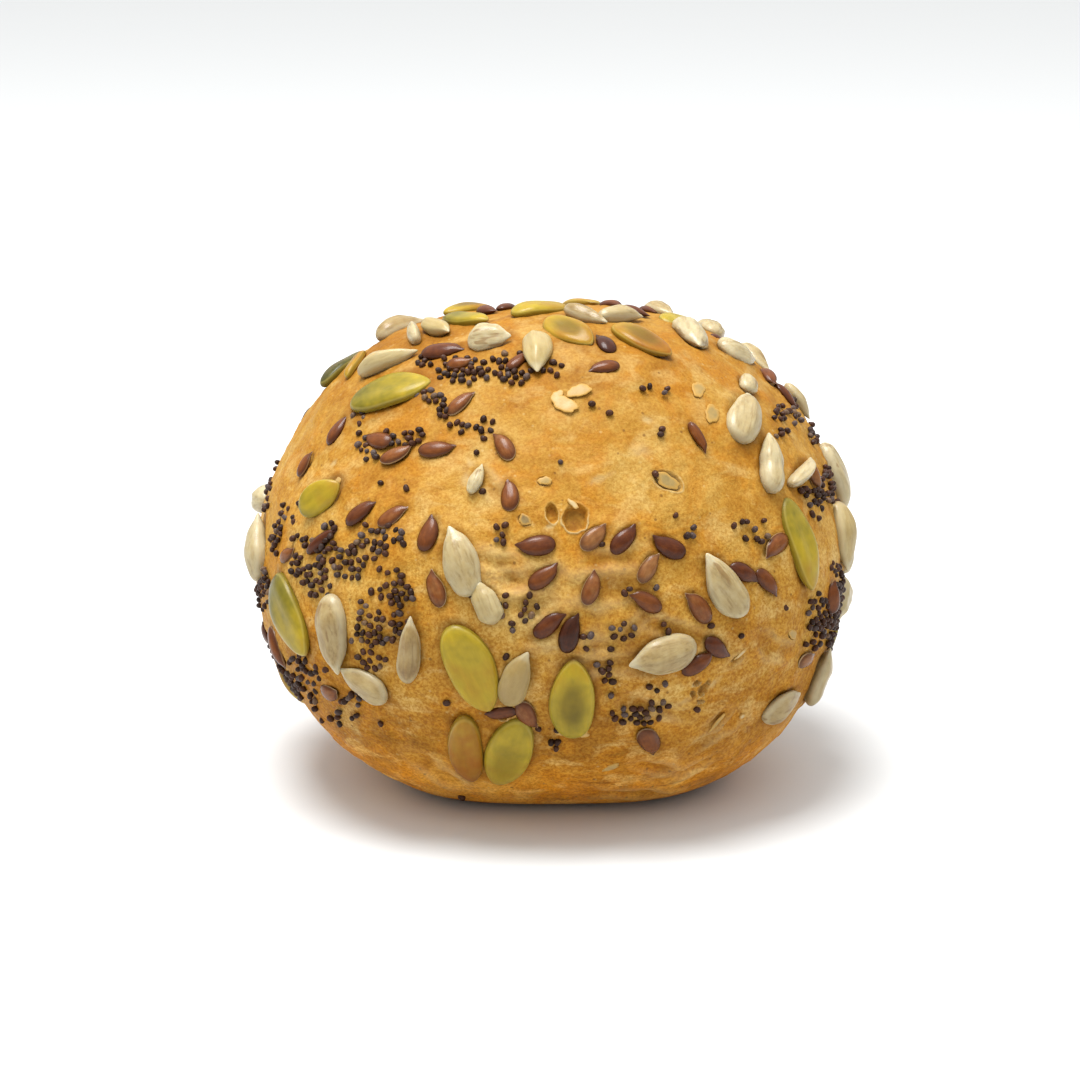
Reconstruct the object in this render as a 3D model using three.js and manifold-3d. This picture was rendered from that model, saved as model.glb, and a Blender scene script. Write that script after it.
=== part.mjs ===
// A round bread roll with a browned crust, strewn with pumpkin, sunflower and flax seeds.
// Millimetres, +Z up. The origin is the centre of the flat underside, and the shown side faces -Y.
import * as THREE from 'three';
import { mergeVertices } from 'three/addons/utils/BufferGeometryUtils.js';
import Module from 'manifold-3d';

const wasm = await Module();
wasm.setup();

// The crust's driving sizes: a swollen ball about a point above the flat underside
const centreHeight = 31.6;
const halfWidth = 40.2;
const topReach = 35.7;
const topFullness = 2.13;
const lowReach = 36.3;
const lowFullness = 2.27;
const lean = 0.05;
const baseEdge = 2.0;
const baseSquareness = 3.4;
const baseSquareShare = 0.4;
const crustDetail = 7;
const restingGap = 0.3;

// The dough's slow swells: waves along x, y and z, a phase and a height
const swells = [
  { x: 2.5, y: 0, z: 2, phase: 1.35, height: 0.45 },
  { x: 0, y: 0, z: 4.5, phase: 0.2, height: 0.9 },
  { x: 3.5, y: 1, z: -2.5, phase: 0.2, height: -0.8 },
  { x: 5, y: -1, z: 1, phase: -0.2, height: -0.8 },
  { x: 1, y: 2, z: 5, phase: -1, height: -0.3 },
  { x: 2, y: 5, z: 2, phase: 0.7, height: 0.5 },
];

// Each kind of seed: its size, how high its middle sits over the crust, how much it narrows to
// its tip, how blunt the tip is, how far a small nib runs out of it, and how many faces it has
const kinds = {
  pumpkin: {
    length: 12.2, width: 6.9, thickness: 2.2, lift: 0.35, taper: 0.07, point: 0.2, nib: 0,
    sides: 8, rings: 5,
  },
  sunflower: {
    length: 9.3, width: 4.7, thickness: 3.1, lift: 0.6, taper: 0.2, point: 0.26, nib: 0.035,
    sides: 6, rings: 4,
  },
  flax: {
    length: 4.8, width: 2.35, thickness: 1.3, lift: 0.2, taper: 0.2, point: 0.34, nib: 0.03,
    sides: 6, rings: 3,
  },
};
const nibStart = 0.86;

// The front view in which the shown seeds are placed: a square picture, read in pixels
const pictureCentre = 540;
const axisPixel = { x: 553, y: 551 };
const millimetresPerPixel = 0.142;
const viewHeight = THREE.MathUtils.degToRad(15);
const viewDistance = 426;
const viewRight = new THREE.Vector3(1, 0, 0);
const viewUp = new THREE.Vector3(0, Math.sin(viewHeight), Math.cos(viewHeight));
const viewForward = new THREE.Vector3(0, Math.cos(viewHeight), -Math.sin(viewHeight));

// The shown seeds, each as [x, y, turn, size, stand, girth]: its middle in the picture, the way its
// tip points, in degrees from the right towards the top, its share of its kind's size, how far it
// stands up on its edge, in degrees, and how wide it is for its length
const shownSeeds = {
  pumpkin: [
    [391, 393, 18, 0.96, 0, 0.9], [345, 369, 54, 0.78, 10, 0.62], [466, 321, -8, 0.76, 0, 0.68],
    [466, 304, 18, 0.7, 20, 0.65], [541, 312, 14, 0.82, 10, 0.85], [569, 334, -30, 0.78, 8, 0.86],
    [641, 342, -32, 0.76, 8, 0.85], [680, 324, -5, 0.65], [325, 501, 38, 0.6, 28],
    [291, 615, -65, 1.02, 0, 0.9], [471, 668, -67, 1.04, 0, 0.87], [573, 699, 90, 1, 0, 0.87],
    [468, 749, -86, 1.2, 0, 0.58], [508, 752, -108, 1.14, 0, 0.76], [799, 544, -76, 1.08, 0, 0.74],
    [357, 365, 60, 0.62, 0, 0.5],
  ],
  sunflower: [
    [388, 365, 22, 1, 0, 0.66], [416, 336, 118, 0.8, 0, 0.5], [399, 328, 33, 0.85, 20, 0.85],
    [437, 331, -30, 0.75, 0, 0.8], [490, 345, 5, 0.62, 32, 1.3], [537, 354, -80, 0.95, 0, 0.9],
    [585, 319, -15, 0.7, 10, 0.8], [619, 320, 0, 0.78, 10, 0.8], [661, 309, -45, 0.7],
    [689, 337, -85, 0.95, 0, 1.05], [735, 355, -20, 0.82, 0, 1.15], [756, 358, -50, 0.75],
    [745, 386, 80, 0.55, 0, 1.1], [741, 419, 80, 1.05], [795, 402, -50, 0.66],
    [768, 465, 86, 0.98, 0, 0.82], [798, 473, 50, 0.95, 0, 0.4], [838, 476, -68, 1.08],
    [839, 535, -85, 0.98], [853, 551, 80, 0.7], [261, 549, 88], [337, 632, -82, 1.08, 0, 0.86],
    [367, 683, 148, 0.8, 0, 1.05], [461, 563, 112, 0.94], [486, 602, 110, 0.64, 0, 1.1],
    [412, 650, 88, 0.94, 20, 0.66], [516, 678, 62, 0.84], [724, 586, 125, 1.02, 0, 0.95],
    [663, 653, 195, 1, 0, 1.08], [779, 703, 30, 0.8, 0, 1.2], [815, 676, 68, 0.9, 15],
    [477, 481, 66, 0.45, 0, 0.8],
  ],
  flax: [
    [338, 431, 60], [461, 404, 42], [460, 366, 10, 0.78, 30], [443, 352, 8, 1.35],
    [518, 362, 40, 0.85], [487, 312, -25], [507, 309, 35], [612, 304, -25], [633, 313, -20],
    [650, 312, -58, 1.05], [605, 345, 120, 1, 0, 1.15], [604, 368, 188, 0.9],
    [697, 438, -58, 0.95, 40, 0.65], [717, 340, 0, 0.7], [767, 378, -75, 0.98, 35], [785, 397, -52],
    [379, 441, 170, 1, 0, 1.1], [397, 455, 25], [437, 450, 5], [504, 447, 118, 0.95],
    [510, 496, 92, 0.92, 0, 1.1], [306, 465, 62, 0.8], [361, 513, 38], [393, 516, 35],
    [322, 541, 45, 1.15, 30, 0.6], [289, 555, 30, 0.85], [429, 534, 74, 1.05, 0, 1.1],
    [536, 546, 188, 1.05, 0, 1.1], [594, 538, 40, 0.92, 0, 1.1], [624, 540, 48],
    [668, 547, 155, 1, 0, 1.1], [648, 568, 62, 0.98], [544, 577, 38], [591, 588, 72, 0.95],
    [646, 601, 152, 1.05], [549, 624, 40], [570, 633, 78, 1.1], [698, 607, 125, 1.05],
    [743, 573, -20], [766, 582, -48], [697, 663, 32], [716, 648, -42], [775, 546, 216, 1.05],
    [829, 597, 88, 0.9, -50, 1.1], [805, 659, 20, 0.8, 0, 1.15], [649, 740, -60, 1.25],
    [527, 714, -62, 1, 0, 1.1], [501, 712, 188, 0.95], [436, 589, 110], [331, 692, 10, 0.9, 0, 1.2],
    [279, 647, -65, 1.35, 0, 0.85], [262, 634, 85, 1.05], [812, 477, -60, 0.8, 30],
  ],
};

// How many seeds of each kind lie where the front view doesn't reach, and how thinly they spread
const hiddenCounts = { pumpkin: 11, sunflower: 22, flax: 36 };
const hiddenSeed = 4217;
const lowestHidden = -0.5;
const facingLimit = -0.04;
const crowding = 0.34;
const hiddenGirth = 0.9;
const maxTilt = THREE.MathUtils.degToRad(7);
const standLift = 0.3;
const joinTolerance = 0.07;

// A repeatable row of numbers from 0 to 1, by Lehmer's rule
function makeRandom(seed) {
  const modulus = 2147483647;
  const factor = 48271;
  let state = seed;
  return () => {
    state = (state * factor) % modulus;
    return state / modulus;
  };
}

// How far the crust lies from the centre in a direction
function crustReach(direction) {
  const x = direction.x - lean * direction.z;
  const y = direction.y;
  const round = Math.hypot(x, y);
  const square = (Math.abs(x) ** baseSquareness + Math.abs(y) ** baseSquareness) ** (1 / baseSquareness);
  const share = baseSquareShare * THREE.MathUtils.smoothstep(-direction.z, 0.25, 0.8);
  const across = round + (square - round) * share;
  const reach = direction.z > 0 ? topReach : lowReach;
  const fullness = direction.z > 0 ? topFullness : lowFullness;
  const parts = (across / halfWidth) ** fullness + (Math.abs(direction.z) / reach) ** fullness;
  let distance = parts ** (-1 / fullness);
  for (const swell of swells) {
    const wave = swell.x * direction.x + swell.y * direction.y + swell.z * direction.z + swell.phase;
    distance += swell.height * Math.cos(wave);
  }
  const toTable = centreHeight / Math.max(-direction.z, 0.001);
  const blend = Math.max(baseEdge - Math.abs(distance - toTable), 0) / baseEdge;
  return Math.min(distance, toTable) - (blend * blend * baseEdge) / 4;
}

// The point of the crust in a direction from the centre
function crustPoint(direction) {
  const point = direction.clone().multiplyScalar(crustReach(direction));
  point.z += centreHeight;
  return point;
}

// The crust's outward direction at a point, from two short steps to each side
function crustNormal(direction) {
  const step = 0.03;
  const east = new THREE.Vector3(-direction.y, direction.x, 0).normalize();
  const north = new THREE.Vector3().crossVectors(direction, east);
  const beside = (axis, sign) => {
    const aside = direction.clone().addScaledVector(axis, sign * step);
    return crustPoint(aside.normalize());
  };
  const alongEast = beside(east, 1).sub(beside(east, -1));
  const alongNorth = beside(north, 1).sub(beside(north, -1));
  return alongEast.cross(alongNorth).normalize();
}

// The crust as a closed mesh of even triangles, flat where it comes close to the table
function makeCrust() {
  const geometry = new THREE.IcosahedronGeometry(1, crustDetail);
  const position = geometry.attributes.position;
  const direction = new THREE.Vector3();
  for (let i = 0; i < position.count; i += 1) {
    direction.fromBufferAttribute(position, i).normalize();
    const point = crustPoint(direction);
    position.setXYZ(i, point.x, point.y, point.z < restingGap ? 0 : point.z);
  }
  return geometry;
}

// The direction from the centre to the crust where a pixel of the front view sees it, or where
// its sight line passes nearest
function directionAtPixel(x, y) {
  const centre = new THREE.Vector3(0, 0, centreHeight);
  const aim = centre.clone()
    .addScaledVector(viewRight, (pictureCentre - axisPixel.x) * millimetresPerPixel)
    .addScaledVector(viewUp, (axisPixel.y - pictureCentre) * millimetresPerPixel);
  const eye = aim.clone().addScaledVector(viewForward, -viewDistance);
  const sight = viewForward.clone().multiplyScalar(viewDistance)
    .addScaledVector(viewRight, (x - pictureCentre) * millimetresPerPixel)
    .addScaledVector(viewUp, (pictureCentre - y) * millimetresPerPixel)
    .normalize();
  const reachAhead = 60;
  const shortestStep = 0.1;
  let along = viewDistance - reachAhead;
  let nearestGap = Infinity;
  let nearest = null;
  while (along < viewDistance + reachAhead && nearestGap > 0) {
    const direction = eye.clone().addScaledVector(sight, along).sub(centre);
    const distance = direction.length();
    direction.normalize();
    const gap = distance - crustReach(direction);
    if (gap < nearestGap) {
      nearestGap = gap;
      nearest = direction;
    }
    along += Math.max(gap * 0.7, shortestStep);
  }
  return nearest;
}

// The way along the crust that the front view shows at an angle in the picture
function alongAtAngle(normal, degrees) {
  const angle = THREE.MathUtils.degToRad(degrees);
  const way = viewRight.clone().multiplyScalar(Math.cos(angle)).addScaledVector(viewUp, Math.sin(angle));
  const facing = Math.max(-normal.dot(viewForward), 0.25);
  const slide = THREE.MathUtils.clamp(way.dot(normal) / facing, -1.5, 1.5);
  way.addScaledVector(viewForward, slide);
  return way.addScaledVector(normal, -way.dot(normal)).normalize();
}

// A seed lying on the crust: where it is, which way its tip points, its size, width and tilts
function placeSeed(kind, direction, along, size, stand, girth, random) {
  const tilt = THREE.MathUtils.degToRad(stand) + (random() * 2 - 1) * maxTilt;
  const pitch = (random() * 2 - 1) * maxTilt * 0.5;
  const bulk = size * (0.95 + 0.1 * random());
  return { kind, direction, along, tilt, pitch, size: bulk, girth };
}

// The shown seeds, by kind
function placeShownSeeds(random) {
  const placed = [];
  for (const [kind, list] of Object.entries(shownSeeds)) {
    for (const [x, y, turn, size = 1, stand = 0, girth = 1] of list) {
      const direction = directionAtPixel(x, y);
      const along = alongAtAngle(crustNormal(direction), turn);
      placed.push(placeSeed(kind, direction, along, size, stand, girth, random));
    }
  }
  return placed;
}

// Whether a new seed would crowd one that lies there already
function isCrowded(kind, direction, placed) {
  const point = crustPoint(direction);
  return placed.some((seed) => {
    const room = (kinds[kind].length + kinds[seed.kind].length) * crowding;
    return crustPoint(seed.direction).distanceTo(point) < room;
  });
}

// The seeds that the front view doesn't reach, the largest kind first, spread evenly
function placeHiddenSeeds(placed, random) {
  for (const [kind, count] of Object.entries(hiddenCounts)) {
    let left = count;
    while (left > 0) {
      const height = lowestHidden + (1 - lowestHidden) * random();
      const around = 2 * Math.PI * random();
      const turn = 2 * Math.PI * random();
      const flat = Math.sqrt(1 - height * height);
      const direction = new THREE.Vector3(flat * Math.cos(around), flat * Math.sin(around), height);
      const normal = crustNormal(direction);
      const isHidden = -normal.dot(viewForward) < facingLimit;
      if (isHidden && !isCrowded(kind, direction, placed)) {
        const east = new THREE.Vector3(-direction.y, direction.x, 0).normalize();
        const along = east.multiplyScalar(Math.cos(turn));
        along.addScaledVector(new THREE.Vector3().crossVectors(normal, along).normalize(), Math.sin(turn));
        along.addScaledVector(normal, -along.dot(normal)).normalize();
        const size = 0.85 + 0.25 * random();
        placed.push(placeSeed(kind, direction, along, size, 0, hiddenGirth, random));
        left -= 1;
      }
    }
  }
  return placed;
}

// One seed as a closed mesh: a flattened ball that narrows to a tip
function makeSeed(seed) {
  const shape = kinds[seed.kind];
  const width = shape.width * seed.girth;
  const geometry = new THREE.SphereGeometry(1, shape.sides, shape.rings);
  geometry.rotateZ(-Math.PI / 2);
  const position = geometry.attributes.position;
  for (let i = 0; i < position.count; i += 1) {
    const along = position.getX(i);
    const sharp = along > 0 ? (1 - along ** 3) ** shape.point : 1;
    const narrowing = (1 - shape.taper * along) * sharp;
    const nib = shape.nib * THREE.MathUtils.smoothstep(along, nibStart, 1);
    position.setX(i, (along / 2 + nib) * shape.length);
    position.setY(i, (position.getY(i) * narrowing * width) / 2);
    position.setZ(i, (position.getZ(i) * narrowing * shape.thickness) / 2);
  }
  const normal = crustNormal(seed.direction);
  const across = new THREE.Vector3().crossVectors(normal, seed.along);
  const lift = shape.lift + Math.abs(Math.sin(seed.tilt)) * (width - shape.thickness) * standLift;
  const middle = crustPoint(seed.direction).addScaledVector(normal, lift);
  geometry.scale(seed.size, seed.size, seed.size);
  geometry.applyMatrix4(new THREE.Matrix4().makeRotationX(seed.tilt));
  geometry.applyMatrix4(new THREE.Matrix4().makeRotationY(seed.pitch));
  geometry.applyMatrix4(new THREE.Matrix4().makeBasis(seed.along, across, normal).setPosition(middle));
  return geometry;
}

// A closed geometry as a solid that can be joined to others
function toSolid(geometry) {
  geometry.deleteAttribute('normal');
  geometry.deleteAttribute('uv');
  const merged = mergeVertices(geometry, 0.0001);
  const vertProperties = new Float32Array(merged.attributes.position.array);
  const triVerts = new Uint32Array(merged.index.array);
  return new wasm.Manifold(new wasm.Mesh({ numProp: 3, vertProperties, triVerts }));
}

// A solid's surface as a three.js geometry
function toGeometry(solid) {
  const surface = solid.getMesh();
  const geometry = new THREE.BufferGeometry();
  geometry.setAttribute('position', new THREE.BufferAttribute(surface.vertProperties, 3));
  geometry.setIndex(new THREE.BufferAttribute(surface.triVerts, 1));
  geometry.computeVertexNormals();
  return geometry;
}

// The largest shell alone, so that a sealed hollow is filled and a loose scrap is dropped
function keepLargestShell(solid) {
  return solid.decompose().reduce((best, shell) => (shell.volume() > best.volume() ? shell : best));
}

// The whole roll: the crust with every seed fused to it
function makeRoll() {
  const random = makeRandom(hiddenSeed);
  const seeds = placeHiddenSeeds(placeShownSeeds(random), random);
  const solids = [toSolid(makeCrust()), ...seeds.map((seed) => toSolid(makeSeed(seed)))];
  const joined = wasm.Manifold.union(solids).simplify(joinTolerance);
  const material = new THREE.MeshStandardMaterial({ color: 0xcf9245, roughness: 0.62, metalness: 0 });
  const mesh = new THREE.Mesh(toGeometry(keepLargestShell(joined)), material);
  mesh.name = 'roll';
  return mesh;
}

const group = new THREE.Group();
group.add(makeRoll());
export default group;
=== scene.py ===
# The looks of a round seeded bread roll: a browned crust with pumpkin, sunflower, flax and
# poppy seeds. Lengths are worked out in millimetres and written to the meshes in metres.
import math

import bmesh
import bpy
import numpy as np
from mathutils import Matrix, Vector, noise


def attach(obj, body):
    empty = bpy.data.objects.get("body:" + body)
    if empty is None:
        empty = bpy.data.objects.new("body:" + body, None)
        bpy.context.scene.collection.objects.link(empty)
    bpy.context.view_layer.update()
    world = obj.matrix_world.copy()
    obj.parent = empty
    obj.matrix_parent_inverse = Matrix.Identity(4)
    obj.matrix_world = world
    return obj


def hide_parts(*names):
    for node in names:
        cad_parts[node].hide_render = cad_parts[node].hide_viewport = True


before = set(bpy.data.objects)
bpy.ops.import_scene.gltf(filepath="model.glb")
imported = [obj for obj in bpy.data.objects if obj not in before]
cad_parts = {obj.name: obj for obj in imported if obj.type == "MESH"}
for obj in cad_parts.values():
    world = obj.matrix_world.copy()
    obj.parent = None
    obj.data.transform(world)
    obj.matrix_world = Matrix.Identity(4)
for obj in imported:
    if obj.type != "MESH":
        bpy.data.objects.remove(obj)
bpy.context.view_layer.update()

METRES = 0.001

# The crust's driving sizes, as in the solid: a swollen ball about a point above the underside.
# Its mesh has CRUST_ROWS rows of cells on each face of an icosahedron
CENTRE_HEIGHT = 31.6
HALF_WIDTH = 40.2
TOP_REACH = 35.7
TOP_FULLNESS = 2.13
LOW_REACH = 36.3
LOW_FULLNESS = 2.27
LEAN = 0.05
BASE_EDGE = 2.0
BASE_SQUARENESS = 3.4
BASE_SQUARE_SHARE = 0.4
CRUST_ROWS = 84
CENTRE = np.array([0, 0, CENTRE_HEIGHT])

# The dough's slow swells: waves along x, y and z, a phase and a height
SWELLS = (
    (2.5, 0, 2, 1.35, 0.45),
    (0, 0, 4.5, 0.2, 0.9),
    (3.5, 1, -2.5, 0.2, -0.8),
    (5, -1, 1, -0.2, -0.8),
    (1, 2, 5, -1, -0.3),
    (2, 5, 2, 0.7, 0.5),
)

# Each kind of seed: its size, how high its middle sits over the crust, how much it narrows to
# its tip, how blunt the tip is, how far a small nib runs out of it, and how its surface is cut up
KINDS = {
    "pumpkin": dict(
        length=12.2, width=6.9, thickness=2.2, lift=0.35, taper=0.07, point=0.18, nib=0.0,
        rings=38, sides=44,
    ),
    "sunflower": dict(
        length=9.3, width=4.7, thickness=3.1, lift=0.6, taper=0.2, point=0.24, nib=0.045,
        rings=40, sides=32,
    ),
    "flax": dict(
        length=4.8, width=2.35, thickness=1.3, lift=0.2, taper=0.2, point=0.34, nib=0.035,
        rings=26, sides=22,
    ),
}
NIB_START = 0.86

# The photograph's view: a square picture, read in pixels
PICTURE_CENTRE = 540
AXIS_PIXEL = (553, 551)
MM_PER_PIXEL = 0.142
VIEW_HEIGHT = math.radians(15)
VIEW_DISTANCE = 426
VIEW_RIGHT = np.array([1.0, 0, 0])
VIEW_UP = np.array([0, math.sin(VIEW_HEIGHT), math.cos(VIEW_HEIGHT)])
VIEW_FORWARD = np.array([0, math.cos(VIEW_HEIGHT), -math.sin(VIEW_HEIGHT)])
AIM = (
    CENTRE
    + VIEW_RIGHT * (PICTURE_CENTRE - AXIS_PIXEL[0]) * MM_PER_PIXEL
    + VIEW_UP * (AXIS_PIXEL[1] - PICTURE_CENTRE) * MM_PER_PIXEL
)
EYE = AIM - VIEW_FORWARD * VIEW_DISTANCE

# The shown seeds, each as (x, y, turn, tone, size, stand, girth): its middle in the picture, the way
# its tip points, in degrees from the right towards the top, its place from 0 to 1 in its kind's row
# of colours, its share of its kind's size, how far it stands up on its edge, in degrees, and how
# wide it is for its length
SHOWN_SEEDS = {
    "pumpkin": (
        (391, 393, 18, 0.35, 0.96, 0, 0.9), (345, 369, 54, 0.05, 0.78, 10, 0.62),
        (466, 321, -8, 0.35, 0.76, 0, 0.68), (466, 304, 18, 0.72, 0.7, 20, 0.65),
        (541, 312, 14, 0.6, 0.82, 10, 0.85), (569, 334, -30, 0.7, 0.78, 8, 0.86),
        (641, 342, -32, 0.85, 0.76, 8, 0.85), (680, 324, -5, 0.5, 0.65), (325, 501, 38, 0.5, 0.6, 28),
        (291, 615, -65, 0.32, 1.02, 0, 0.9), (471, 668, -67, 0.55, 1.04, 0, 0.87),
        (573, 699, 90, 0.45, 1, 0, 0.87), (468, 749, -86, 0.92, 1.2, 0, 0.58),
        (508, 752, -108, 0.52, 1.14, 0, 0.76), (799, 544, -76, 0.45, 1.08, 0, 0.74),
        (357, 365, 60, 0.78, 0.62, 0, 0.5),
    ),
    "sunflower": (
        (388, 365, 22, 0, 1, 0, 0.66), (416, 336, 118, 0.05, 0.8, 0, 0.5),
        (399, 328, 33, 0.6, 0.85, 20, 0.85), (437, 331, -30, 0.25, 0.75, 0, 0.8),
        (490, 345, 5, 0.1, 0.62, 32, 1.3), (537, 354, -80, 0.3, 0.95, 0, 0.9),
        (585, 319, -15, 0.6, 0.7, 10, 0.8), (619, 320, 0, 0.3, 0.78, 10, 0.8),
        (661, 309, -45, 0.5, 0.7), (689, 337, -85, 0.1, 0.95, 0, 1.05),
        (735, 355, -20, 0.1, 0.82, 0, 1.15), (756, 358, -50, 0.5, 0.75),
        (745, 386, 80, 0.1, 0.55, 0, 1.1), (741, 419, 80, 0.3, 1.05), (795, 402, -50, 0.35, 0.66),
        (768, 465, 86, 0.2, 0.98, 0, 0.82), (798, 473, 50, 0.1, 0.95, 0, 0.4),
        (838, 476, -68, 0.15, 1.08), (839, 535, -85, 0.4, 0.98), (853, 551, 80, 0.1, 0.7),
        (261, 549, 88, 0.2), (337, 632, -82, 0.55, 1.08, 0, 0.86), (367, 683, 148, 0.45, 0.8, 0, 1.05),
        (461, 563, 112, 0.32, 0.94), (486, 602, 110, 0.3, 0.64, 0, 1.1),
        (412, 650, 88, 0.75, 0.94, 20, 0.66), (516, 678, 62, 0.95, 0.84),
        (724, 586, 125, 0.4, 1.02, 0, 0.95), (663, 653, 195, 0.52, 1, 0, 1.08),
        (779, 703, 30, 0.62, 0.8, 0, 1.2), (815, 676, 68, 0.45, 0.9, 15),
        (477, 481, 66, 0, 0.45, 0, 0.8),
    ),
    "flax": (
        (338, 431, 60, 0.5), (461, 404, 42, 0.3), (460, 366, 10, 0.35, 0.78, 30),
        (443, 352, 8, 0.6, 1.35), (518, 362, 40, 0.5, 0.85), (487, 312, -25, 0.6), (507, 309, 35, 0.5),
        (612, 304, -25, 0.5), (633, 313, -20, 0.6), (650, 312, -58, 0.5, 1.05),
        (605, 345, 120, 0.85, 1, 0, 1.15), (604, 368, 188, 0.5, 0.9),
        (697, 438, -58, 0.4, 0.95, 40, 0.65), (717, 340, 0, 0.6, 0.7), (767, 378, -75, 0.45, 0.98, 35),
        (785, 397, -52, 0.6), (379, 441, 170, 0.45, 1, 0, 1.1), (397, 455, 25, 0.32),
        (437, 450, 5, 0.45), (504, 447, 118, 0.3, 0.95), (510, 496, 92, 0.4, 0.92, 0, 1.1),
        (306, 465, 62, 0.4, 0.8), (361, 513, 38, 0.6), (393, 516, 35, 0.35),
        (322, 541, 45, 0.7, 1.15, 30, 0.6), (289, 555, 30, 0.3, 0.85),
        (429, 534, 74, 0.52, 1.05, 0, 1.1), (536, 546, 188, 0.6, 1.05, 0, 1.1),
        (594, 538, 40, 0.15, 0.92, 0, 1.1), (624, 540, 48, 0.65), (668, 547, 155, 0.7, 1, 0, 1.1),
        (648, 568, 62, 0.15, 0.98), (544, 577, 38, 0.5), (591, 588, 72, 0.3, 0.95),
        (646, 601, 152, 0.42, 1.05), (549, 624, 40, 0.65), (570, 633, 78, 0.9, 1.1),
        (698, 607, 125, 0.35, 1.05), (743, 573, -20, 0.65), (766, 582, -48, 0.5), (697, 663, 32, 0.6),
        (716, 648, -42, 0.7), (775, 546, 216, 0.35, 1.05), (829, 597, 88, 0.45, 0.9, -50, 1.1),
        (805, 659, 20, 0.2, 0.8, 0, 1.15), (649, 740, -60, 0.4, 1.25), (527, 714, -62, 0.35, 1, 0, 1.1),
        (501, 712, 188, 0.65, 0.95), (436, 589, 110, 0.3), (331, 692, 10, 0.3, 0.9, 0, 1.2),
        (279, 647, -65, 0.4, 1.35, 0, 0.85), (262, 634, 85, 0.55, 1.05), (812, 477, -60, 0.2, 0.8, 30),
    ),
}

# The seeds where the view doesn't reach: how many of each kind, how far down they go, how near two
# may lie for their lengths, and how wide they are for their length
HIDDEN_COUNTS = {"pumpkin": 11, "sunflower": 22, "flax": 36}
HIDDEN_SEED = 4217
LOWEST_HIDDEN = -0.5
CROWDING = 0.34
HIDDEN_GIRTH = 0.9

# How far the crust turns from the view before it counts as hidden
FACING_LIMIT = -0.04

# How much a seed on its edge is lifted, and how far any seed leans by chance
STAND_LIFT = 0.3
MAX_TILT = math.radians(7)

# Drifts of poppy seeds in the view: middle, half width and half height in pixels, and count
POPPY_DRIFTS = (
    (266, 480, 5, 26, 12), (353, 420, 12, 9, 4), (370, 440, 9, 20, 6), (405, 434, 16, 12, 26),
    (371, 456, 7, 4, 4), (432, 363, 12, 8, 8), (464, 373, 22, 12, 24), (511, 370, 18, 14, 18),
    (555, 370, 10, 10, 5), (440, 411, 8, 7, 5), (490, 428, 12, 10, 6), (424, 398, 18, 9, 10),
    (460, 426, 12, 8, 5), (285, 519, 9, 11, 10), (278, 540, 6, 12, 9), (304, 539, 9, 6, 6),
    (298, 561, 5, 11, 6), (352, 545, 30, 20, 44), (388, 537, 18, 9, 9), (313, 573, 14, 10, 14),
    (350, 570, 14, 8, 10), (390, 583, 17, 13, 11), (323, 590, 10, 7, 6), (356, 500, 8, 5, 4),
    (393, 487, 16, 4, 2), (264, 590, 6, 18, 24), (271, 663, 8, 14, 12), (288, 688, 14, 14, 26),
    (301, 659, 11, 5, 7), (313, 673, 15, 9, 12), (317, 694, 5, 12, 5), (340, 717, 16, 6, 7),
    (359, 697, 9, 7, 6), (346, 700, 3, 3, 2), (368, 601, 5, 4, 2), (399, 593, 15, 10, 10),
    (372, 621, 12, 11, 16), (399, 620, 9, 12, 8), (373, 639, 19, 9, 10), (373, 658, 11, 8, 11),
    (471, 597, 2, 2, 1), (502, 604, 6, 9, 4), (528, 608, 8, 11, 9), (512, 626, 4, 4, 2),
    (524, 638, 2, 2, 1), (507, 654, 2, 2, 1), (588, 637, 6, 14, 3), (624, 632, 14, 8, 7),
    (612, 648, 4, 4, 2), (600, 663, 10, 6, 3), (608, 677, 5, 9, 5), (663, 686, 16, 3, 3),
    (659, 704, 7, 6, 7), (634, 715, 20, 7, 20), (609, 693, 2, 2, 1), (696, 709, 3, 3, 1),
    (665, 627, 5, 4, 2), (711, 625, 2, 2, 1), (743, 636, 2, 2, 1), (785, 609, 2, 2, 1),
    (627, 588, 6, 5, 2), (652, 586, 4, 3, 1), (643, 391, 6, 7, 2), (664, 386, 3, 6, 2),
    (593, 406, 2, 2, 1), (608, 413, 2, 2, 1), (512, 414, 2, 2, 1), (561, 462, 2, 2, 1),
    (479, 454, 2, 2, 1), (486, 493, 5, 3, 2), (655, 474, 2, 2, 1), (677, 516, 2, 2, 1),
    (689, 532, 5, 5, 3), (502, 534, 6, 10, 5), (603, 546, 2, 2, 1), (661, 428, 4, 7, 2),
    (787, 412, 13, 13, 20), (780, 432, 8, 5, 4), (815, 433, 6, 9, 8), (826, 468, 5, 8, 9),
    (807, 492, 8, 5, 6), (827, 487, 10, 8, 12), (815, 506, 7, 11, 9), (831, 500, 5, 4, 4),
    (750, 517, 16, 20, 6), (757, 536, 8, 6, 3), (740, 488, 2, 2, 1), (835, 568, 8, 7, 9),
    (817, 608, 8, 17, 18), (839, 587, 5, 10, 16), (832, 620, 9, 22, 38), (820, 626, 10, 8, 9),
    (812, 646, 8, 4, 4), (826, 649, 3, 3, 2), (555, 745, 5, 14, 4), (541, 729, 3, 3, 1),
    (445, 703, 2, 2, 1), (383, 722, 2, 2, 1), (460, 798, 3, 2, 1), (300, 502, 3, 3, 1),
)

# Drifts where the view doesn't reach: how many, how wide and of how many seeds
HIDDEN_DRIFTS = 26
HIDDEN_DRIFT_SPREAD = (0.06, 0.2)
HIDDEN_DRIFT_COUNT = (8, 48)

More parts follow.
